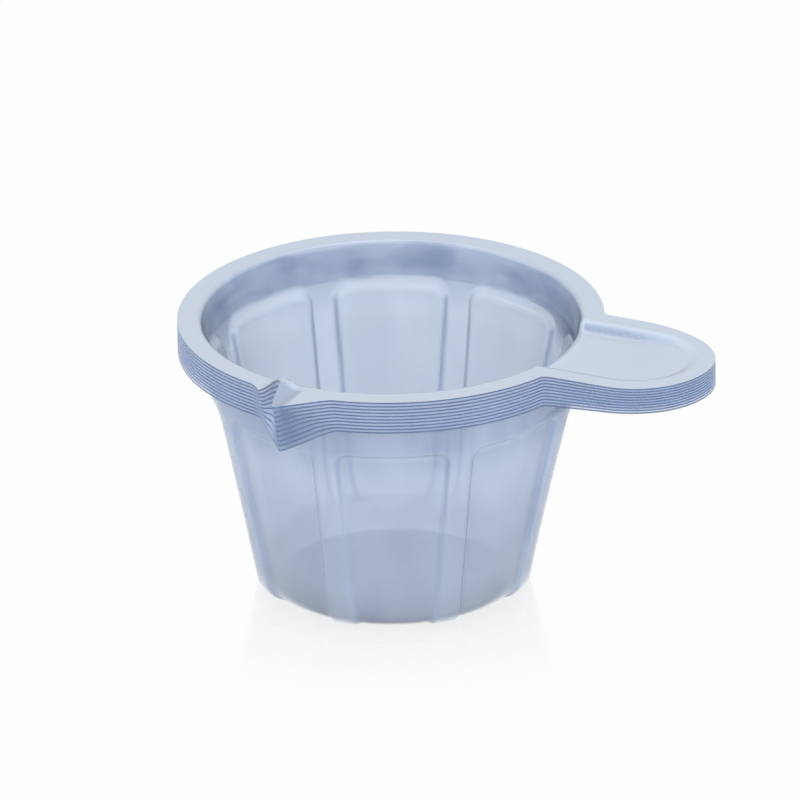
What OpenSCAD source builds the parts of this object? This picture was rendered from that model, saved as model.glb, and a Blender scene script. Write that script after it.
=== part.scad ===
// Stack of ten nested disposable resin mixing cups, each with a thumb handle and a pouring lip.
// Every cup is one sheet of clear plastic, drawn over a mould and cut out round the flange.
// The origin is the middle of the bottom cup's base, and the handles point along +X.

/* [Sheet] */
// Thickness of the walls and the floor, measured straight up, mm
wall_rise = 0.32; // [0.24:0.02:0.4]
// Thickness of the flange, mm
flange_t = 0.25; // [0.15:0.05:0.35]
// Gap between a cup and the one inside it, measured straight up, mm
nest_gap = 0.2; // [0.16:0.02:0.5]

/* [Body] */
// Height of one cup, from its base to the top of its flange, mm
cup_h = 37.1; // [30:0.1:50]
// Radius of the flat floor between the ribs, mm
floor_r = 16.3; // [15:0.1:17.5]
// Radius of the panels at the top of the rounded foot, mm
foot_r = 20.3; // [19.3:0.1:21]
// Height of the rounded foot, mm
foot_h = 3; // [2:0.1:4]
// Radius of the mouth at the top of the flange, mm
mouth_r = 27.9; // [27:0.1:29]
// Height of the plain collar between the flange and the shoulder, mm
collar_h = 5.8; // [4:0.1:8]
// How much smaller the collar's radius is at the shoulder than at the mouth, mm
collar_taper = 0.93; // [0.8:0.01:1.4]

/* [Ribs] */
// Number of ribs, with a sunk panel between each two
rib_count = 8; // [6:1:9]
// Depth of the panels below the ribs, mm
rib_depth = 0.85; // [0.5:0.05:1.1]
// Width of the face of a rib, mm
rib_w = 2.9; // [2.4:0.1:4]
// Size of the cut corners at the top of each panel, mm
corner_cut = 1.4; // [1:0.1:2]

/* [Flange and handle] */
// Radius of the flange, mm
flange_r = 31.4; // [30.6:0.1:33]
// Reach of the handle from the middle of the cup, mm
handle_reach = 50.6; // [46:0.1:56]
// Width of the handle, mm
handle_w = 24; // [21:0.1:26]
// Width of the flat border round the handle's pocket, mm
handle_border = 3.3; // [2.5:0.1:4.5]
// Depth of the pocket below the flange, mm
pocket_depth = 1.5; // [1:0.1:2.5]
// How far the pocket's sides lean outward between its floor and the flange, mm
pocket_lean = 1.1; // [0.8:0.1:1.5]

/* [Pouring lip] */
// Direction of the lip, counted from the handle, degrees
lip_angle = -94; // [-100:0.5:-80]
// Reach of the tip of the lip from the middle of the cup, mm
lip_reach = 36.7; // [34:0.1:39]
// Width of the lip where it leaves the flange, mm
lip_w = 12; // [9:0.1:14]
// Width of the fold that runs out through the lip, mm
fold_w = 10.8; // [8:0.1:12]
// Depth of the fold below the flange, mm
fold_depth = 2; // [1.2:0.1:2.6]

/* [Hidden] */
$fn = 180;
sheet_blue = [0.72, 0.80, 0.91, 0.6];

stack_pitch = max(wall_rise, flange_t) + nest_gap;
// How far a form or a cutting shape runs on past the face that it makes
over = 2;
form_top = cup_h + over;
shoulder_z = cup_h - collar_h;
shoulder_r = mouth_r - collar_taper;
// The shoulder slopes at 45 degrees, so it is as high as the panels are deep
panel_top_z = shoulder_z - rib_depth;
panel_top_r = shoulder_r - rib_depth;
// Lean of the walls from upright, degrees
slant = atan((panel_top_r - foot_r) / (panel_top_z - foot_h));
panel_length = (panel_top_z - foot_h) / cos(slant);
foot_steps = 4;
// Half the width of a rib at the level of the panels, because its sides slope at 45 degrees
rib_half = rib_w / 2 + rib_depth;
// Reach of the ribs and corners inward, which takes them under the rounded foot
rib_root = foot_r - floor_r + 0.2;
rib_past = rib_depth + 0.5;
corner_past = rib_depth + 0.4;
// Reach of a corner piece back over the rib, past the edge where the rib's face meets the collar
corner_back = rib_depth * sqrt(2) + 0.3;
handle_end_r = handle_w / 2;
handle_end_x = handle_reach - handle_end_r;
pocket_r = handle_end_r - handle_border;
pocket_z = cup_h - pocket_depth;
pocket_top_r = pocket_r + over * pocket_lean / pocket_depth;
fold_top = (fold_depth + over) * fold_w / (2 * fold_depth);
// Inner end of the pocket and the fold, inside the mouth
inner_end = mouth_r - 7;
lip_root_x = sqrt(flange_r * flange_r - lip_w * lip_w / 4);

// Points up the rounded foot, from the flat floor to the foot of the wall
function foot_points(r_floor, r_wall) =
    let (turn = 90 - slant)
    [for (i = [0 : foot_steps])
        let (a = turn * i / foot_steps)
        [r_floor + (r_wall - r_floor) * sin(a) / sin(turn),
         foot_h * (1 - cos(a)) / (1 - cos(turn))]];

// Round form that gives the collar and the faces of the ribs
module rib_form() {
    rotate_extrude()
        polygon(concat([[0, 0]], foot_points(floor_r + rib_depth, foot_r + rib_depth),
            [[shoulder_r, shoulder_z],
             [mouth_r + over * collar_taper / collar_h, form_top],
             [0, form_top]]));
}

// Round form that gives the sunk panels and the shoulder at their top
module panel_form() {
    past = rib_depth + over;
    rotate_extrude()
        polygon(concat([[0, 0]], foot_points(floor_r, foot_r),
            [[panel_top_r, panel_top_z],
             [panel_top_r + past, panel_top_z + past],
             [panel_top_r + past, form_top],
             [0, form_top]]));
}

// Moves to the foot of the wall, with +Z up along the wall and +X straight out of it
module on_wall() {
    translate([foot_r, 0, foot_h])
        rotate([0, slant, 0])
            children();
}

// Rib up the wall, with sides that slope at 45 degrees so that the cups nest and part
module rib() {
    foot = 2 * foot_h;
    on_wall()
        translate([0, 0, -foot])
            linear_extrude(height = foot + panel_length + 2 * rib_depth)
                polygon([[-rib_root, rib_half + rib_root],
                         [rib_past, rib_half - rib_past],
                         [rib_past, rib_past - rib_half],
                         [-rib_root, -rib_half - rib_root]]);
}

// Corner piece that cuts across the top corner of a panel, on one side of a rib
module panel_corner(side) {
    reach = corner_cut / sqrt(2);
    half_length = reach + rib_depth + 0.4;
    on_wall()
        translate([0, side * rib_half, panel_length])
            rotate([-side * 45, 0, 0])
                translate([0, 0, -half_length])
                    linear_extrude(height = 2 * half_length)
                        polygon([[-corner_past, side * (reach + corner_past)],
                                 [corner_past, side * (reach - corner_past)],
                                 [corner_past, -side * corner_back],
                                 [-corner_past, -side * corner_back]]);
}

// Shallow pocket of the handle, open to the mouth, with leaning sides
module pocket_form() {
    translate([handle_end_x, 0, pocket_z])
        cylinder(h = pocket_depth + over, r1 = pocket_r - pocket_lean, r2 = pocket_top_r);
    translate([inner_end, 0, 0])
        rotate([90, 0, 90])
            linear_extrude(height = handle_end_x - inner_end)
                polygon([[pocket_lean - pocket_r, pocket_z],
                         [pocket_r - pocket_lean, pocket_z],
                         [pocket_top_r, form_top],
                         [-pocket_top_r, form_top]]);
}

// Straight fold with a sharp bottom that leads from the mouth out through the lip
module fold_form() {
    rotate([0, 0, lip_angle])
        translate([inner_end, 0, 0])
            rotate([90, 0, 90])
                linear_extrude(height = lip_reach + over - inner_end)
                    polygon([[0, cup_h - fold_depth],
                             [fold_top, form_top],
                             [-fold_top, form_top]]);
}

// Whole form that the sheet is drawn over, with no face that leans inward on its way up
module cup_form() {
    intersection() {
        rib_form();
        union() {
            panel_form();
            for (i = [0 : rib_count - 1])
                rotate([0, 0, i * 360 / rib_count]) {
                    rib();
                    panel_corner(1);
                    panel_corner(-1);
                }
        }
    }
    pocket_form();
    fold_form();
}

// Line along which the sheet is cut out: the round flange, the handle and the lip
module cut_line() {
    root_x = lip_root_x - over;
    root_y = lip_w / 2 * (lip_reach - root_x) / (lip_reach - lip_root_x);
    circle(r = flange_r);
    translate([handle_end_x, 0])
        circle(r = handle_end_r);
    translate([0, -handle_end_r])
        square([handle_end_x, handle_w]);
    rotate(lip_angle)
        polygon([[lip_reach, 0], [root_x, root_y], [root_x, -root_y]]);
}

// One cup: the drawn sheet under the flange's top, with the form above it taken away
module drawn_cup() {
    difference() {
        union() {
            intersection() {
                cup_form();
                linear_extrude(height = cup_h)
                    cut_line();
            }
            translate([0, 0, cup_h - flange_t])
                linear_extrude(height = flange_t)
                    cut_line();
        }
        translate([0, 0, wall_rise])
            cup_form();
    }
}

// A cup at its place in the stack, where number 1 stands at the bottom
module cup(number) {
    color(sheet_blue)
        translate([0, 0, (number - 1) * stack_pitch])
            drawn_cup();
}

cup(1);  // cup_01
cup(2);  // cup_02
cup(3);  // cup_03
cup(4);  // cup_04
cup(5);  // cup_05
cup(6);  // cup_06
cup(7);  // cup_07
cup(8);  // cup_08
cup(9);  // cup_09
cup(10);  // cup_10
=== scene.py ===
import math

import bmesh
import bpy
import numpy as np
from mathutils import Matrix, Vector


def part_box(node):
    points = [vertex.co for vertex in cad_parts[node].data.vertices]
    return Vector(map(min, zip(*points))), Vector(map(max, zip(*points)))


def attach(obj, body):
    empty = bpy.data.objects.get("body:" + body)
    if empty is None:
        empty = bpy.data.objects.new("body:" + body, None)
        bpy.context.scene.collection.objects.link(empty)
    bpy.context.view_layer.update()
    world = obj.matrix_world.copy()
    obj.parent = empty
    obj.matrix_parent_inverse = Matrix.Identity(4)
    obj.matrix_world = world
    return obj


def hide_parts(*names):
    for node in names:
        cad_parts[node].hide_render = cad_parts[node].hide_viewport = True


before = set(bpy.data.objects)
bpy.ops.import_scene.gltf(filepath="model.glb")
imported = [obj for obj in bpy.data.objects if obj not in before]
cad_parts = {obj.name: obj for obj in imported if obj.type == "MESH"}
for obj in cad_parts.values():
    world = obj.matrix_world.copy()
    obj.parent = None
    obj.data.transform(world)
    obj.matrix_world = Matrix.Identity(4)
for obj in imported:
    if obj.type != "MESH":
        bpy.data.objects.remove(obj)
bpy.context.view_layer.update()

bl_info = {
    "name": "Nested Mixing Cups",
    "version": (1, 0, 0),
    "blender": (4, 5, 0),
    "location": "3D View > Sidebar > Cups",
    "description": "Builds a stack of thin clear cups with thumb handles and pouring lips, and its studio",
    "category": "Add Mesh",
}

CUPS = sorted(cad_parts)
FIRST_LOW, FIRST_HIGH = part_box(CUPS[0])
SECOND_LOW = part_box(CUPS[1])[0]

# Zones of the sheet, from the middle of its floor to its cut edge, as the "along" attribute counts them
ZONES = ("floor", "foot", "wall", "collar", "flange")
FLOOR_END = 0.2
FOOT_END = 0.4
WALL_END = 0.6
COLLAR_END = 0.8
# How much the zone rises over each radian of the rounded edge of the mouth
ROUNDING = 0.0032

# Rows of points up the turned sheet
FLOOR_ROWS = 6
FOOT_ROWS = 8
WALL_ROWS = 13
PANEL_TOP_ROWS = 18
COLLAR_ROWS = 8
MOUTH_ROWS = 5
# Rows of points across the flange, as shares of its width, closest together at the side of the pocket
FLANGE_ROWS = (0.05, 0.1, 0.16, 0.22, 0.28, 0.35, 0.42, 0.48, 0.54, 0.6, 0.65, 0.69, 0.72, 0.745, 0.765,
               0.785, 0.805, 0.83, 0.86, 0.9, 0.95, 1)

# How much closer together the stations round the sheet lie at the handle, and at the ribs
HANDLE_CROWDING = 0.3
RIB_CROWDING = 0.55

# Heights over which the pocket's side blends with its floor and the flange, and the fold with the flange
POCKET_FLOOR_BLEND = 0.0005
POCKET_EDGE_BLEND = 0.0004
FOLD_BLEND = 0.0003

# Density of the sheet in each of its zones, where 1 is this many times the density of a wall
ZONE_DENSITY = (0.13, 0.32, 0.2, 0.3, 0.75)
DENSITY_SCALE = 5
# Length, in zones, over which the outer side of the wall changes to that of the collar and its painted
# shadow
SOFT_COLLAR = 0.045

# What the sheet's attributes say at each point: its zone, whether it is on the upper side, whether no other
# cup covers it, how far it is pressed in, how far it faces up above a panel, where a highlight is painted,
# how deep it lies in the pocket, and how much shade is painted on its relief
MARKS = ("along", "raised", "bare", "pressed", "shoulder", "pocket", "shaded")

PLASTIC_IOR = 1.5

LAMP_AIM = (0, 0, 0.02)
# Name, place and size of each lamp, and the level to which it lights a white surface that faces it
LAMPS = (
    ("front_lamp", (0.0, -0.85, 0.35), 0.6, 0.28),
    ("left_lamp", (-0.75, -0.35, 0.3), 0.5, 0.24),
    ("right_lamp", (0.75, -0.3, 0.3), 0.5, 0.34),
    ("top_lamp", (0.1, 0.25, 0.9), 0.6, 0.25),
)


# Settings


def length_of(name, description, value):
    return bpy.props.FloatProperty(
        name=name, description=description, default=value, subtype="DISTANCE", unit="LENGTH", precision=5)


def angle_of(name, description, degrees):
    return bpy.props.FloatProperty(
        name=name, description=description, default=math.radians(degrees), subtype="ANGLE", unit="ROTATION")


def colour_of(name, description, value):
    return bpy.props.FloatVectorProperty(
        name=name, description=description, default=value, size=3, subtype="COLOR", min=0, max=1)


def share_of(name, description, value):
    return bpy.props.FloatProperty(
        name=name, description=description, default=value, subtype="FACTOR", min=0, max=1)


class CupSizes(bpy.types.PropertyGroup):
    """Sizes of one cup"""

    height: length_of("Height", "From the base to the top of the flange", FIRST_HIGH.z - FIRST_LOW.z)
    pitch: length_of("Pitch", "Height from one cup to the next", SECOND_LOW.z - FIRST_LOW.z)
    wall_rise: length_of("Wall rise", "Thickness of the walls, measured straight up", 0.00032)
    flange_thickness: length_of("Flange thickness", "Thickness of the flange", 0.00025)
    floor_radius: length_of("Floor radius", "Flat floor between the ribs", 0.0163)
    foot_radius: length_of("Foot radius", "Panels at the top of the rounded foot", 0.0203)
    foot_height: length_of("Foot height", "Height of the rounded foot", 0.003)
    mouth_radius: length_of("Mouth radius", "Mouth at the top of the collar", 0.0279)
    mouth_rounding: length_of("Mouth rounding", "Radius of the edge between collar and flange", 0.0008)
    collar_height: length_of("Collar height", "Plain collar between flange and shoulder", 0.0058)
    collar_taper: length_of("Collar taper", "How much the collar narrows towards the shoulder", 0.00093)
    rib_depth: length_of("Rib depth", "Depth of the panels below the ribs", 0.00085)
    rib_width: length_of("Rib width", "Width of the face of a rib", 0.0029)
    rib_flank: length_of("Rib flank", "Width of the soft side of a rib", 0.0010)
    panel_corner: length_of("Panel corner", "Radius of the top corners of a panel", 0.0026)
    flange_radius: length_of("Flange radius", "Outer radius of the round flange", 0.0314)
    neck_fillet: length_of("Neck fillet", "Softness of the corner between flange and handle", 0.0013)
    handle_reach: length_of("Handle reach", "From the middle of the cup to the handle's end", FIRST_HIGH.x)
    handle_width: length_of("Handle width", "Width across the handle", 0.024)
    handle_taper: length_of("Handle taper", "How much earlier the handle's far side rounds off", 0.004)
    handle_border: length_of("Handle border", "Flat border round the pocket", 0.0033)
    handle_rise: length_of("Handle rise", "How far the end of the bottom cup's handle is raised", 0.00094)
    handle_droop: length_of("Handle droop", "How far every handle's end hangs down", 0.0003)
    pocket_depth: length_of("Pocket depth", "Depth of the handle's pocket at the mouth", 0.0012)
    pocket_lean: length_of("Pocket lean", "How far the pocket's sides lean outward", 0.0011)
    pocket_lift: share_of("Pocket lift", "Share of its depth that the pocket loses towards its end", 0.55)
    lip_reach: length_of("Lip reach", "From the middle of the cup to the lip's tip", 0.0367)
    lip_width: length_of("Lip width", "Width of the lip where it leaves the flange", 0.012)
    lip_fillet: length_of("Lip fillet", "Softness of the corner between flange and lip", 0.0006)
    lip_angle: angle_of("Lip angle", "Direction of the lip, counted from the handle", -94)
    lip_lean: angle_of("Lip lean", "How far the top cup's lip is bent to one side", 1.8)
    lip_curl: length_of("Lip curl", "How far the top cup's lip turns up on that side", 0.0012)
    lip_dent: length_of("Lip dent", "How far that side is drawn in", 0.0043)
    curl_aside: length_of("Curl aside", "From the middle of the lip to the top of the curl", 0.0023)
    curl_width: length_of("Curl width", "Half the width of the curl", 0.0024)
    fold_width: length_of("Fold width", "Width of the fold that runs through the lip", 0.0108)
    fold_depth: length_of("Fold depth", "Depth of the fold in the bottom cup", 0.002)
    fold_rise: length_of("Fold rise", "How much shallower the fold is in the top cup", 0.0019)
    bulge: length_of("Bulge", "How far the wall stands out near the handle", 0.0013)
    bulge_angle: angle_of("Bulge angle", "Direction of the bulge, counted from the handle", 24)
    bulge_spread: angle_of("Bulge spread", "From the middle of the bulge to either side of it", 48)
    ribs: bpy.props.IntProperty(name="Ribs", description="Ribs round the wall", default=8, min=4)
    stations: bpy.props.IntProperty(
        name="Stations", description="Steps of the turned sheet", default=480, min=96)


class FilmColours(bpy.types.PropertyGroup):
    """Colours of the clear blue sheet"""

    outside: colour_of("Outside", "Walls, seen from outside", (0.62, 0.70, 0.86))
    inside: colour_of("Inside", "Walls, seen from inside", (0.55, 0.64, 0.77))
    foot_outside: share_of("Outside foot", "Lightness of the foot beside the wall, seen from outside", 0.58)
    foot_inside: share_of("Inside foot", "Lightness of the foot beside the wall, seen from inside", 0.38)
    # Painted shade: the collar is darker than the walls of the same sheet, and outside it is the painted
    # shadow of the flanges that overhang it
    collar_shadow_outside: colour_of("Collar outside", "Collar, seen from outside", (0.25, 0.33, 0.50))
    collar_shade_inside: colour_of("Collar inside", "Collar, seen from inside", (0.26, 0.33, 0.48))
    # Painted highlight on the sloping tops of the panels; the pocket and the pale smears are also mixed
    # towards this colour
    shoulder: colour_of("Shoulder", "Sloping top of the panels", (0.77, 0.87, 1.0))
    floor: colour_of("Floor", "Floor of the cup", (0.09, 0.145, 0.28))
    flange: colour_of("Flange", "Top of the flange and the handle", (0.74, 0.84, 1.0))
    # Painted shade on flange tops that the next cup's flange covers
    gap: colour_of("Gap", "Top of a flange that another cup covers", (0.56, 0.66, 0.89))
    shade: colour_of("Shade", "Sides of the ribs, the pocket and the fold", (0.08, 0.16, 0.35))
    cut: colour_of("Cut edge", "Edge where the sheet was cut out", (0.08, 0.14, 0.27))
    pale_ribs: share_of("Pale ribs", "How much of the flange's colour the ribs have", 0.15)
    pale_pocket: share_of("Pale pocket", "How much of the shoulder's colour the pocket has", 0.25)
    highlight_outside: share_of("Outside shoulder", "Share of its colour that shows from outside", 0.2)
    glance_outside: share_of("Outside glance", "Lightness at a low angle, seen from outside", 0.8)
    glance_inside: share_of("Inside glance", "Lightness at a low angle, seen from inside", 0.32)
    glance_density: share_of("Glancing density", "Light that a wall holds back at the lowest angle", 0.45)
    outside_density: share_of("Outside density", "Light that a wall holds back, seen from outside", 0.04)
    inside_density: share_of("Inside density", "Light that a wall holds back, seen from inside", 0.12)
    bare_density: share_of("Bare density", "What a side that no other cup covers adds to that", 0.36)


class StudioSizes(bpy.types.PropertyGroup):
    """Camera, lamps and floor"""

    elevation: angle_of("Elevation", "Camera above the table", 23.8)
    azimuth: angle_of("Azimuth", "Camera round the cups, towards the handle", 22.5)
    roll: angle_of("Roll", "Turn of the picture", 0.67)
    distance: length_of("Distance", "From the camera to the middle of the view", 4.0)
    view_width: length_of("View width", "Width of the view at that distance", 0.118)
    aim_right: length_of("Aim right", "Middle of the view, right of the stack's base", 0.000885)
    aim_up: length_of("Aim up", "Middle of the view, above the stack's base", 0.02596)
    floor_size: length_of("Floor size", "Length of the square floor", 4.0)
    shade: colour_of("Shade", "Blue shade of the cups on the table under them", (0.09, 0.14, 0.26))
    ambient: bpy.props.FloatProperty(
        name="Ambient", description="Level of the light from all round", default=0.375, min=0)


# Shader sums written as Python expressions


class Value:
    """A shader socket that takes part in sums"""

    def __init__(self, nodes, socket):
        self.nodes = nodes
        self.socket = socket

    def sum(self, operation, first, second):
        return self.nodes.add("ShaderNodeMath", {"operation": operation}, {0: first, 1: second})

    def __add__(self, other):
        return self.sum("ADD", self, other)

    def __radd__(self, other):
        return self.sum("ADD", other, self)

    def __sub__(self, other):
        return self.sum("SUBTRACT", self, other)

    def __rsub__(self, other):
        return self.sum("SUBTRACT", other, self)

    def __mul__(self, other):
        return self.sum("MULTIPLY", self, other)

    def __rmul__(self, other):
        return self.sum("MULTIPLY", other, self)

    def __pow__(self, other):
        return self.sum("POWER", self, other)


class Nodes:
    """The nodes of one material or world"""

    def __init__(self, owner):
        owner.use_nodes = True
        self.tree = owner.node_tree
        self.tree.nodes.clear()

    def add(self, kind, settings=None, inputs=None, output=0):
        node = self.tree.nodes.new(kind)
        for name, value in (settings or {}).items():
            if name == "stops":
                self.set_stops(node.color_ramp, value)
            else:
                setattr(node, name, value)
        for name, value in (inputs or {}).items():
            if isinstance(value, Value):
                self.tree.links.new(value.socket, node.inputs[name])
            else:
                node.inputs[name].default_value = value
        return Value(self, node.outputs[output]) if node.outputs else node

    def set_stops(self, ramp, stops):
        while len(ramp.elements) < len(stops):
            ramp.elements.new(1)
        for element, (position, value) in zip(ramp.elements, stops):
            element.position = position
            element.color = value

    def finish(self, shader, kind="ShaderNodeOutputMaterial"):
        self.add(kind, None, {"Surface": shader})


def opaque(colour, level=1.0):
    """A colour with its alpha, lightened or darkened by a level"""
    return tuple(part * level for part in colour) + (1,)


def grey(level):
    return (level, level, level, 1)


def mix_colours(nodes, share, first, second, blend="MIX"):
    return nodes.add("ShaderNodeMix", {"data_type": "RGBA", "blend_type": blend}, {
        "Factor": share, 6: first, 7: second}, output=2)


def mix_shaders(nodes, share, first, second):
    return nodes.add("ShaderNodeMixShader", None, {0: share, 1: first, 2: second})


def level_between(nodes, value, start, end, first, last, kind="SMOOTHSTEP"):
    """Level that goes from the first to the last while the value goes from the start to the end"""
    return nodes.add("ShaderNodeMapRange", {"interpolation_type": kind}, {
        "Value": value, "From Min": start, "From Max": end, "To Min": first, "To Max": last})


def patches(nodes, place, stretch, scale, detail, roughness):
    """Uneven patches, drawn out round the cup by a stretch above 1 and up the cup by one below 1"""
    place = nodes.add("ShaderNodeMapping", None, {"Vector": place, "Scale": (1, 1, stretch)})
    return nodes.add("ShaderNodeTexNoise", None, {
        "Vector": place, "Scale": scale, "Detail": detail, "Roughness": roughness})


def zones(nodes, along, floor, foot, wall, collar, flange, rise=0.07, soft=0.002):
    """Colour of one side of the sheet in each of its zones.
    Rise is the length of the change from the foot to the wall, and soft from the wall to the collar."""
    return nodes.add("ShaderNodeValToRGB", {"stops": [
        (0.0, floor),
        (FLOOR_END - 0.005, floor),
        (FLOOR_END + 0.01, foot),
        (FOOT_END + rise, wall),
        (WALL_END - soft, wall),
        (WALL_END + 0.005, collar),
        (COLLAR_END + 0.0012, collar),
        (COLLAR_END + 0.003, flange),
    ]}, {"Fac": along})


def only_zone(nodes, along, zone):
    """1 in one zone of the sheet, 0 in the others"""
    return zones(nodes, along, *[grey(float(name == zone)) for name in ZONES])


# Materials of the cups


def film_tone(nodes, colours, marks, place):
    """Colour of the sheet by its zone, side and relief, with dark streaks on the collar and pale smears.
    Painted shade darkens the collar, the covered flange tops and the sides of the relief, and a painted
    highlight lights the shoulders.
    """
    along, raised, shoulder = marks["along"], marks["raised"], marks["shoulder"]
    # The collar zone on each side is painted shade, which from outside fades softly down the wall as the
    # flanges' painted shadow
    outside = zones(
        nodes, along, opaque(colours.floor), opaque(colours.outside, colours.foot_outside),
        opaque(colours.outside), opaque(colours.collar_shadow_outside), opaque(colours.flange),
        rise=0.13, soft=SOFT_COLLAR)
    inside = zones(
        nodes, along, opaque(colours.floor), opaque(colours.inside, colours.foot_inside),
        opaque(colours.inside), opaque(colours.collar_shade_inside), opaque(colours.flange))
    tone = mix_colours(nodes, raised, outside, inside)
    # Painted shade on each flange top that the flange above covers
    gap_shade_share = only_zone(nodes, along, "flange") * raised * (1 - marks["bare"])
    tone = mix_colours(nodes, gap_shade_share, tone, opaque(colours.gap))
    tone = mix_colours(nodes, colours.pale_ribs * (1 - marks["pressed"]), tone, opaque(colours.flange))
    # Painted highlight on the shoulders, which shows only faintly from outside
    shown = colours.highlight_outside + (1 - colours.highlight_outside) * raised
    tone = mix_colours(nodes, shoulder * shown, tone, opaque(colours.shoulder))
    tone = mix_colours(nodes, colours.pale_pocket * marks["pocket"], tone, opaque(colours.shoulder))
    tone = mix_colours(nodes, marks["shaded"], tone, opaque(colours.shade))
    streaks = patches(nodes, place, stretch=2.5, scale=110, detail=2, roughness=0.5)
    streaks = level_between(nodes, streaks, 0.42, 0.65, 0.0, 0.4)
    on_collar = only_zone(nodes, along, "collar") * raised
    tone = mix_colours(nodes, streaks * on_collar, tone, opaque(colours.shade))
    smears = patches(nodes, place, stretch=0.35, scale=160, detail=1, roughness=0.4)
    smears = level_between(nodes, smears, 0.3, 0.75, 0.0, 0.25)
    return mix_colours(nodes, smears, tone, opaque(colours.shoulder))


def film_shader(nodes, base, density, rough, bump):
    return nodes.add("ShaderNodeBsdfPrincipled", None, {
        "Base Color": base, "Alpha": density, "Roughness": rough, "IOR": PLASTIC_IOR, "Normal": bump})


def finish_sheet(nodes, shader):
    """Ends a material of the sheet, whose faces are clear from behind"""
    clear = nodes.add("ShaderNodeBsdfTransparent")
    from_behind = nodes.add("ShaderNodeNewGeometry", output=6)
    nodes.finish(mix_shaders(nodes, from_behind, shader, clear))


def make_film(colours):
    """Clear sheet with a blue cast, which looks denser and darker at a low angle"""
    material = bpy.data.materials.new("clear_blue_sheet")
    nodes = Nodes(material)
    marks = {name: nodes.add("ShaderNodeAttribute", {"attribute_name": name}, output=2) for name in MARKS}
    along, raised = marks["along"], marks["raised"]
    place = nodes.add("ShaderNodeTexCoord", output=3)
    cloud = patches(nodes, place, stretch=1, scale=90, detail=2, roughness=0.4)
    bump = nodes.add("ShaderNodeBump", None, {"Strength": 0.12, "Distance": 0.0006, "Height": cloud})
    rough = 0.12 + 0.12 * cloud

    levels = [grey(level) for level in ZONE_DENSITY]
    outer_walls = zones(nodes, along, *levels, soft=SOFT_COLLAR)
    walls = DENSITY_SCALE * mix_colours(nodes, raised, outer_walls, zones(nodes, along, *levels))
    hold = colours.outside_density + (colours.inside_density - colours.outside_density) * raised
    hold = hold + colours.bare_density * marks["bare"]
    density = hold * walls * (0.9 + 0.2 * cloud + 1.4 * marks["shaded"])

    tone = film_tone(nodes, colours, marks, place)
    glance = mix_colours(nodes, raised, grey(colours.glance_outside), grey(colours.glance_inside))
    low_tone = mix_colours(nodes, 1.0, tone, glance, "MULTIPLY")
    square_on = film_shader(nodes, tone, density, rough, bump)
    glancing = film_shader(nodes, low_tone, colours.glance_density * walls, rough, bump)
    facing = nodes.add("ShaderNodeLayerWeight", None, {"Blend": 0.5}, output=1)
    finish_sheet(nodes, mix_shaders(nodes, facing ** 3.0, square_on, glancing))
    return material


def make_cut_edge(colours):
    """Edge of the sheet where it was cut out, which gathers the sheet's colour"""
    material = bpy.data.materials.new("cut_edge")
    nodes = Nodes(material)
    place = nodes.add("ShaderNodeTexCoord", output=3)
    speck = nodes.add("ShaderNodeTexNoise", None, {"Vector": place, "Scale": 350, "Detail": 2})
    base = mix_colours(nodes, speck, opaque(colours.cut, 0.8), opaque(colours.cut, 1.5))
    finish_sheet(nodes, nodes.add("ShaderNodeBsdfPrincipled", None, {
        "Base Color": base, "Alpha": 0.9, "Roughness": 0.25 + 0.2 * speck, "IOR": PLASTIC_IOR}))
    return material


# Shape of the cup


def spread(start, end, count, power=1.0):
    """Values after start, up to end, drawn towards the end by a power below 1"""
    return [start + (end - start) * (i / count) ** power for i in range(1, count + 1)]


def sheet_profile(s):
    """Radius, height and zone of points up the drawn sheet, and the radius where the flange starts"""
    floor_r = s.floor_radius + s.rib_depth
    wall_r = s.foot_radius + s.rib_depth
    shoulder_r = s.mouth_radius - s.collar_taper
    shoulder_z = s.height - s.collar_height
    slant = math.atan2(shoulder_r - wall_r, shoulder_z - s.foot_height)
    turn = math.pi / 2 - slant
    points = [(0, 0, 0)]
    for share in spread(0, 1, FLOOR_ROWS, power=0.7):
        points.append((share * floor_r, 0, share * FLOOR_END))
    for a in spread(0, turn, FOOT_ROWS):
        rise = s.foot_height * (1 - math.cos(a)) / (1 - math.cos(turn))
        zone = FLOOR_END + (FOOT_END - FLOOR_END) * a / turn
        points.append((floor_r + (wall_r - floor_r) * math.sin(a) / math.sin(turn), rise, zone))
    panel_bend = shoulder_z - 1.5 * s.panel_corner
    wall_heights = spread(s.foot_height, panel_bend, WALL_ROWS)
    for z in wall_heights + spread(panel_bend, shoulder_z, PANEL_TOP_ROWS):
        share = (z - s.foot_height) / (shoulder_z - s.foot_height)
        zone = FOOT_END + (WALL_END - FOOT_END) * share
        points.append((wall_r + (shoulder_r - wall_r) * share, z, zone))
    lean = math.atan2(s.collar_taper, s.collar_height)
    reach = s.mouth_rounding * math.tan((math.pi / 2 - lean) / 2)
    collar_z = s.height - reach * math.cos(lean)
    for z in spread(shoulder_z, collar_z, COLLAR_ROWS):
        zone = WALL_END + (COLLAR_END - WALL_END) * (z - shoulder_z) / (collar_z - shoulder_z)
        points.append((shoulder_r + (z - shoulder_z) * math.tan(lean), z, zone))
    inner = s.mouth_radius + reach
    for a in spread(lean, math.pi / 2, MOUTH_ROWS):
        drop = s.mouth_rounding * (1 - math.sin(a))
        zone = COLLAR_END + ROUNDING * a
        points.append((inner - s.mouth_rounding * math.cos(a), s.height - drop, zone))
    for share in FLANGE_ROWS:
        zone = COLLAR_END + (1 - COLLAR_END) * share
        points.append((inner + share * (s.flange_radius - inner), s.height, zone))
    return points, inner


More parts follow.
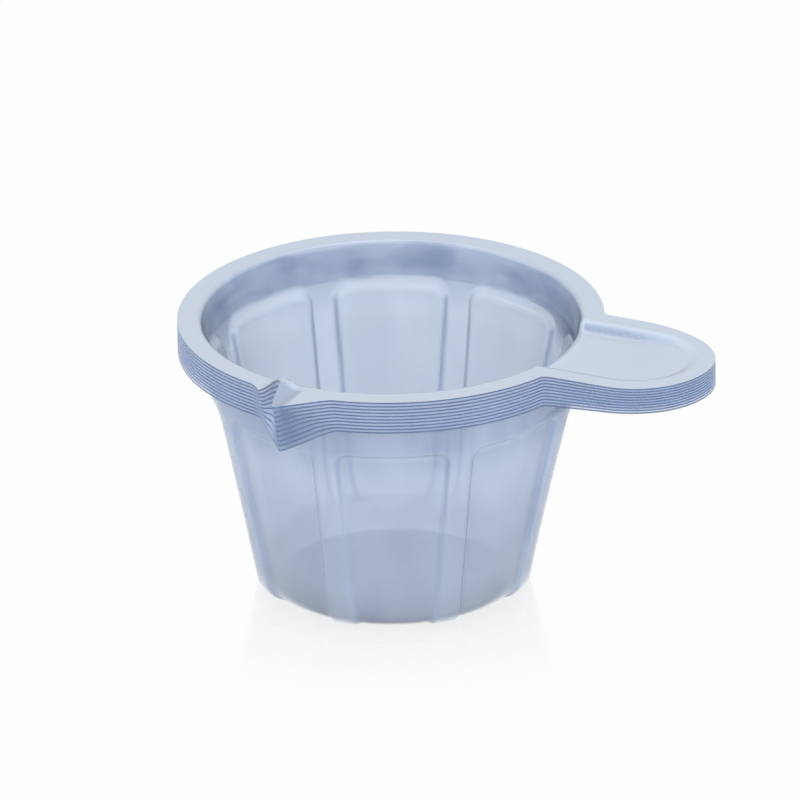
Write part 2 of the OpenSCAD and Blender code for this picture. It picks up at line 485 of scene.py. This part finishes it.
def turn_sheet(s):
    """Turned cup without ribs or handle, as a closed sheet, and the radius where its flange starts"""
    points, inner = sheet_profile(s)
    bm = bmesh.new()
    along = bm.verts.layers.float.new("along")
    raised = bm.verts.layers.float.new("raised")
    verts = []
    for r, z, zone in points:
        verts.append(bm.verts.new((r, 0, z)))
        verts[-1][along] = zone
    edges = [bm.edges.new(pair) for pair in zip(verts, verts[1:])]
    bmesh.ops.spin(bm, geom=verts + edges, cent=(0, 0, 0), axis=(0, 0, 1), angle=2 * math.pi,
                   steps=s.stations, use_merge=True)
    bmesh.ops.remove_doubles(bm, verts=bm.verts, dist=1e-7)
    bmesh.ops.recalc_face_normals(bm, faces=bm.faces)
    made = bmesh.ops.extrude_face_region(bm, geom=bm.faces[:])["geom"]
    upper = {item for item in made if isinstance(item, bmesh.types.BMVert)}
    for vert in upper:
        vert[raised] = 1
    for face in bm.faces:
        face.smooth = True
        lifted = [vert in upper for vert in face.verts]
        if any(lifted) and not all(lifted):
            face.material_index = 1
    for edge in bm.edges:
        edge.smooth = len({face.material_index for face in edge.link_faces}) == 1
    mesh = bpy.data.meshes.new("turned_sheet")
    bm.to_mesh(mesh)
    bm.free()
    return mesh, inner


def smooth_min(a, b, k):
    """Lower of two heights, blended over about k"""
    h = np.clip(0.5 + 0.5 * (b - a) / k, 0, 1)
    return b + (a - b) * h - k * h * (1 - h)


def smooth_max(a, b, k):
    """Higher of two values, blended over about k"""
    return -smooth_min(-a, -b, k)


def ease(value):
    """Soft step from 0 to 1"""
    value = np.clip(value, 0, 1)
    return value * value * (3 - 2 * value)


def ease_between(value, start, end):
    """Soft step from 0 at the start to 1 at the end, which may be the lower of the two"""
    return ease((value - start) / (end - start))


def hump(value, middle, width):
    """Soft hump of 1 at the middle, which ends at its width to either side"""
    return ease(1 - np.abs(value - middle) / width)


def handle_radius(s, angle):
    """Radius of the handle's outline in each direction, 0 where there is none"""
    half = s.handle_width / 2
    across = np.abs(np.sin(angle))
    ahead = np.cos(angle)
    round_end = np.where(angle > 0, half + s.handle_taper, half)
    end_x = s.handle_reach - round_end
    square = (ahead / round_end) ** 2 + (across / half) ** 2
    middle = end_x * ahead / round_end ** 2
    root = np.sqrt(np.maximum(middle ** 2 - square * ((end_x / round_end) ** 2 - 1), 0))
    side = half / np.maximum(across, 1e-6)
    radius = np.where(np.abs(angle) < np.arctan2(half, end_x), (middle + root) / square, side)
    return np.where(ahead > 0, radius, 0)


def cut_radius(s, angle, up):
    """Radius of the cut line in each direction: round flange, handle, and lip with its curl drawn in.
    Up is the cup's place in the stack, from 0 for the bottom one to 1 for the top one."""
    turn = angle - s.lip_angle + up * s.lip_lean
    lean = 2 * (s.lip_reach - math.sqrt(s.flange_radius ** 2 - s.lip_width ** 2 / 4)) / s.lip_width
    bluntness = 0.008
    off_tip = np.sqrt(np.sin(turn) ** 2 + bluntness ** 2) - bluntness
    lip = np.where(np.cos(turn) > 0.5, s.lip_reach / (np.cos(turn) + lean * off_tip), 0)
    radius = smooth_max(np.full_like(angle, s.flange_radius), handle_radius(s, angle), s.neck_fillet)
    radius = smooth_max(radius, lip, s.lip_fillet)
    return radius - up * s.lip_dent * hump(turn * s.flange_radius, -s.curl_aside, s.curl_width)


def panel_share(s, r, z, angle):
    """How far points are pressed in, 0 on a rib and 1 on a panel, and how far they face up above a panel.
    That second share sets the painted highlight on the shoulders.
    """
    sector = 2 * math.pi / s.ribs
    off_rib = np.abs((angle + sector / 2) % sector - sector / 2)
    beside = r * np.sin(off_rib) - s.rib_width / 2
    below = s.height - s.collar_height - z
    corner = s.panel_corner
    aside = np.maximum(corner - beside, 0)
    above = np.maximum(corner - below, 0)
    in_corner = (aside > 0) & (above > 0)
    inside = np.where(in_corner, corner - np.hypot(aside, above), np.minimum(beside, below))
    pressed = ease(inside / s.rib_flank)
    band = hump(inside, 0.7 * s.rib_flank, 1.1 * s.rib_flank) ** 0.5
    # Painted highlight, strongest on the band where the shoulder faces up
    shoulder = band * above / np.maximum(np.hypot(aside, above), 1e-6)
    return pressed, shoulder


def wall_bulge(s, z, angle):
    """How far the wall stands out near the handle, most of all under the shoulder"""
    wall_height = s.height - s.collar_height - s.foot_height
    upward = ease((z - s.foot_height) / wall_height * 0.75 + 0.05)
    bulge = s.bulge * upward * hump(angle, s.bulge_angle, s.bulge_spread)
    return np.where(z < s.height - s.collar_height + 0.0005, bulge, 0)


def pocket_height(s, x, y):
    """Height of the pocket's sides and floor at each point, and how far inside the pocket's edge it lies"""
    pocket_r = s.handle_width / 2 - s.handle_border
    end_x = s.handle_reach - s.handle_width / 2
    inside = pocket_r - np.hypot(np.maximum(x - end_x, 0), y)
    sides = s.height - inside * s.pocket_depth / s.pocket_lean
    depth = s.pocket_depth * (1 - s.pocket_lift * ease_between(x, 0.032, 0.046))
    heights = smooth_max(sides, s.height - depth, POCKET_FLOOR_BLEND)
    return np.where(x > 0, heights, 1), inside


def fold_height(s, aside, up):
    """Height of the fold that runs through the lip, at each distance to the side of its middle"""
    crease = np.sqrt(aside ** 2 + FOLD_BLEND ** 2) - FOLD_BLEND
    return s.height - s.fold_depth + up * s.fold_rise + crease * 2 * s.fold_depth / s.fold_width


def rib_shade(pressed, shoulder):
    """Shade on the sides of the ribs, but not on the shoulders"""
    return 0.5 * (4 * pressed * (1 - pressed)) ** 2 * (1 - shoulder)


def pocket_shade(x, y, in_pocket):
    """Shade on the far side of the pocket, which fades out towards the handle's end"""
    side = hump(in_pocket, 0.0007, 0.0010)
    return 0.6 * side * ease_between(y, 0, 0.002) * ease_between(x, 0.046, 0.036) * (x > 0)


def fold_shade(s, out, aside):
    """Shade along the bottom of the fold, wider on the side of the lip that curls"""
    beside = np.where(aside > 0, aside, -0.6 * aside)
    start = s.mouth_radius + 0.0016
    return 0.42 * ease_between(out, start, start + 0.0006) * ease_between(beside, 0.0016, 0.0010)


def press_sheet(s, mesh, inner, number):
    """Moves the turned sheet's points into the drawn cup of that number in the stack, and marks them"""
    co = np.empty(len(mesh.vertices) * 3)
    mesh.vertices.foreach_get("co", co)
    co = co.reshape(-1, 3)
    raised = np.empty(len(mesh.vertices))
    mesh.attributes["raised"].data.foreach_get("value", raised)
    up = (number - 1) / (len(CUPS) - 1)

    r = np.hypot(co[:, 0], co[:, 1])
    turned_z = co[:, 2]
    angle = np.arctan2(co[:, 1], co[:, 0])
    angle = angle - HANDLE_CROWDING * np.sin(angle)
    angle = angle - RIB_CROWDING / s.ribs * np.sin(s.ribs * angle)
    on_flange = r > inner
    share = (r - inner) / (s.flange_radius - inner)
    r = np.where(on_flange, inner + share * (cut_radius(s, angle, up) - inner), r)
    pressed, shoulder = panel_share(s, r, turned_z, angle)
    pressed = pressed * ease_between(r, 0.6 * s.floor_radius, 0.9 * s.floor_radius)
    r = r - s.rib_depth * pressed + wall_bulge(s, turned_z, angle)
    x = r * np.cos(angle)
    y = r * np.sin(angle)

    pocket_z, in_pocket = pocket_height(s, x, y)
    z = smooth_min(turned_z, pocket_z, POCKET_EDGE_BLEND)
    pocket = np.where(on_flange, (turned_z - z) / s.pocket_depth, 0)
    lip_angle = s.lip_angle - up * s.lip_lean
    out = x * math.cos(lip_angle) + y * math.sin(lip_angle)
    aside = y * math.cos(lip_angle) - x * math.sin(lip_angle)
    z = np.where(out > 0, smooth_min(z, fold_height(s, aside, up), FOLD_BLEND), z)
    near_top = ease_between(z, s.height - 0.005, s.height - 0.001)
    shaded = rib_shade(pressed, shoulder) + pocket_shade(x, y, in_pocket) * on_flange
    shaded = np.clip(shaded + fold_shade(s, out, aside) * near_top, 0, 1)
    curl = ease_between(out, s.mouth_radius - 0.001, s.mouth_radius + 0.0015)
    z = z + near_top * up * s.lip_curl * curl * hump(aside, -s.curl_aside, s.curl_width)
    z = z + near_top * (s.handle_rise * (1 - up) - s.handle_droop) * ease_between(x, 0.024, 0.044)
    rise = np.where(r < inner, s.wall_rise, s.flange_thickness)
    z = z + raised * rise - s.flange_thickness * near_top + (number - 1) * s.pitch

    mesh.vertices.foreach_set("co", np.column_stack([x, y, z]).ravel())
    bare = raised if number == len(CUPS) else (1 - raised) * (number == 1)
    made = {"bare": bare, "pressed": pressed, "shoulder": shoulder, "pocket": pocket, "shaded": shaded}
    for name, values in made.items():
        mesh.attributes.new(name, "FLOAT", "POINT").data.foreach_set("value", values)
    mesh.update()


class CUPS_OT_make_cups(bpy.types.Operator):
    """Make the ten nested cups, each from one turned sheet that is pressed into shape"""

    bl_idname = "cups.make_cups"
    bl_label = "Nested Cups"

    def execute(self, context):
        s = context.scene.cup_sizes
        colours = context.scene.film_colours
        materials = [make_film(colours), make_cut_edge(colours)]
        sheet, inner = turn_sheet(s)
        for number, node in enumerate(CUPS, start=1):
            mesh = sheet.copy()
            mesh.name = node + "_sheet"
            press_sheet(s, mesh, inner, number)
            for material in materials:
                mesh.materials.append(material)
            cup = bpy.data.objects.new(node + "_sheet", mesh)
            context.scene.collection.objects.link(cup)
            # Light passes through clear sheet, so only the bottom cup casts a shadow
            cup.visible_shadow = number == 1
            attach(cup, node)
            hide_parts(node)
        bpy.data.meshes.remove(sheet)
        return {"FINISHED"}


# Studio


def add_lamp(scene, name, place, size, level):
    """Soft square lamp that lights a white surface at its aim to a level"""
    data = bpy.data.lights.new(name, "AREA")
    data.shape = "SQUARE"
    data.size = size
    away = Vector(place) - Vector(LAMP_AIM)
    data.energy = level * math.pi ** 2 * away.length_squared
    lamp = bpy.data.objects.new(name, data)
    lamp.matrix_world = Matrix.Translation(place) @ away.to_track_quat("Z", "Y").to_matrix().to_4x4()
    scene.collection.objects.link(lamp)


def seen_directly(nodes):
    """1 for what the camera, gloss and glass see, 0 for light that falls on the cups"""
    camera = nodes.add("ShaderNodeLightPath", output=0)
    glossy = nodes.add("ShaderNodeLightPath", output=3)
    through = nodes.add("ShaderNodeLightPath", output=6)
    settings = {"operation": "ADD", "use_clamp": True}
    return nodes.add("ShaderNodeMath", settings, {0: camera + glossy, 1: through})


def make_floor_paint(base_radius, shade_colour):
    """Pale table, white to the camera, with a faint reflection, a soft shadow and shade under the cups"""
    material = bpy.data.materials.new("pale_table")
    nodes = Nodes(material)
    plain = nodes.add("ShaderNodeBsdfDiffuse", None, {"Color": (0.93, 0.94, 0.96, 1)})
    white = nodes.add("ShaderNodeEmission", None, {"Color": (1, 1, 1, 1), "Strength": 1.0})
    mirror = nodes.add("ShaderNodeBsdfGlossy", None, {"Color": (1, 1, 1, 1), "Roughness": 0.1})
    place = nodes.add("ShaderNodeTexCoord", output=3)
    away = nodes.add("ShaderNodeVectorMath", {"operation": "LENGTH"}, {0: place}, output=1)
    reflection = level_between(nodes, away, 0.012, 0.05, 0.2, 0.0)
    shiny = mix_shaders(nodes, reflection, white, mirror)
    shadow_share = 0.05
    shown = mix_shaders(nodes, shadow_share, shiny, plain)
    under = level_between(nodes, away, base_radius, base_radius + 0.0014, 1.0, 0.0)
    rim = level_between(nodes, away, 0.75 * base_radius, base_radius, 0.0, 0.6, kind="LINEAR")
    blue = mix_colours(nodes, rim, opaque(shade_colour), opaque(shade_colour, 0.1))
    shade = nodes.add("ShaderNodeBsdfDiffuse", None, {"Color": blue})
    shown = mix_shaders(nodes, under, shown, shade)
    nodes.finish(mix_shaders(nodes, seen_directly(nodes), plain, shown))
    return material


def make_backdrop(world, ambient):
    """White all round to the camera, and soft even light on the cups"""
    nodes = Nodes(world)
    light = nodes.add("ShaderNodeBackground", None, {"Color": (0.96, 0.98, 1, 1), "Strength": ambient})
    white = nodes.add("ShaderNodeBackground", None, {"Color": (1, 1, 1, 1), "Strength": 1.0})
    nodes.finish(mix_shaders(nodes, seen_directly(nodes), light, white), "ShaderNodeOutputWorld")


def add_camera(scene, studio):
    """Camera at the photograph's angle"""
    turn, lift = studio.azimuth, studio.elevation
    right = Vector((math.cos(turn), math.sin(turn), 0))
    back = Vector((math.sin(turn) * math.cos(lift), -math.cos(turn) * math.cos(lift), math.sin(lift)))
    up = back.cross(right)
    rolled_right = right * math.cos(studio.roll) - up * math.sin(studio.roll)
    rolled_up = right * math.sin(studio.roll) + up * math.cos(studio.roll)
    aim = rolled_right * studio.aim_right + rolled_up * studio.aim_up
    data = bpy.data.cameras.new("camera")
    data.sensor_width = 36
    data.lens = data.sensor_width * studio.distance / studio.view_width
    # Far enough for a view of the cups lifted apart
    data.clip_end = 100
    camera = bpy.data.objects.new("camera", data)
    axes = Matrix((rolled_right, rolled_up, back)).transposed().to_4x4()
    camera.matrix_world = Matrix.Translation(aim + back * studio.distance) @ axes
    scene.collection.objects.link(camera)
    scene.camera = camera


class CUPS_OT_make_stage(bpy.types.Operator):
    """Make the pale table, the soft lamps, the white backdrop and the camera"""

    bl_idname = "cups.make_stage"
    bl_label = "Stage"

    def execute(self, context):
        scene = context.scene
        studio = scene.studio_sizes
        bm = bmesh.new()
        bmesh.ops.create_grid(bm, x_segments=1, y_segments=1, size=studio.floor_size / 2)
        mesh = bpy.data.meshes.new("table")
        bm.to_mesh(mesh)
        bm.free()
        mesh.materials.append(make_floor_paint(scene.cup_sizes.floor_radius, studio.shade))
        table = bpy.data.objects.new("table", mesh)
        scene.collection.objects.link(table)
        for lamp in LAMPS:
            add_lamp(scene, *lamp)
        if scene.world is None:
            scene.world = bpy.data.worlds.new("studio")
        make_backdrop(scene.world, studio.ambient)
        add_camera(scene, studio)
        scene.view_settings.view_transform = "Standard"
        # Enough for a ray that meets both sides of every cup several times
        scene.cycles.transparent_max_bounces = 160
        return {"FINISHED"}


class CUPS_PT_panel(bpy.types.Panel):
    """Buttons that build the cups and the stage"""

    bl_label = "Nested Mixing Cups"
    bl_idname = "CUPS_PT_panel"
    bl_space_type = "VIEW_3D"
    bl_region_type = "UI"
    bl_category = "Cups"

    def draw(self, context):
        for operator in (CUPS_OT_make_cups, CUPS_OT_make_stage):
            self.layout.operator(operator.bl_idname, text=operator.bl_label)


CLASSES = (CupSizes, FilmColours, StudioSizes, CUPS_OT_make_cups, CUPS_OT_make_stage, CUPS_PT_panel)


def register():
    for item in CLASSES:
        bpy.utils.register_class(item)
    bpy.types.Scene.cup_sizes = bpy.props.PointerProperty(type=CupSizes)
    bpy.types.Scene.film_colours = bpy.props.PointerProperty(type=FilmColours)
    bpy.types.Scene.studio_sizes = bpy.props.PointerProperty(type=StudioSizes)


def unregister():
    del bpy.types.Scene.studio_sizes
    del bpy.types.Scene.film_colours
    del bpy.types.Scene.cup_sizes
    for item in reversed(CLASSES):
        bpy.utils.unregister_class(item)


def main():
    register()
    bpy.ops.cups.make_stage()
    bpy.ops.cups.make_cups()


if __name__ == "__main__":
    main()
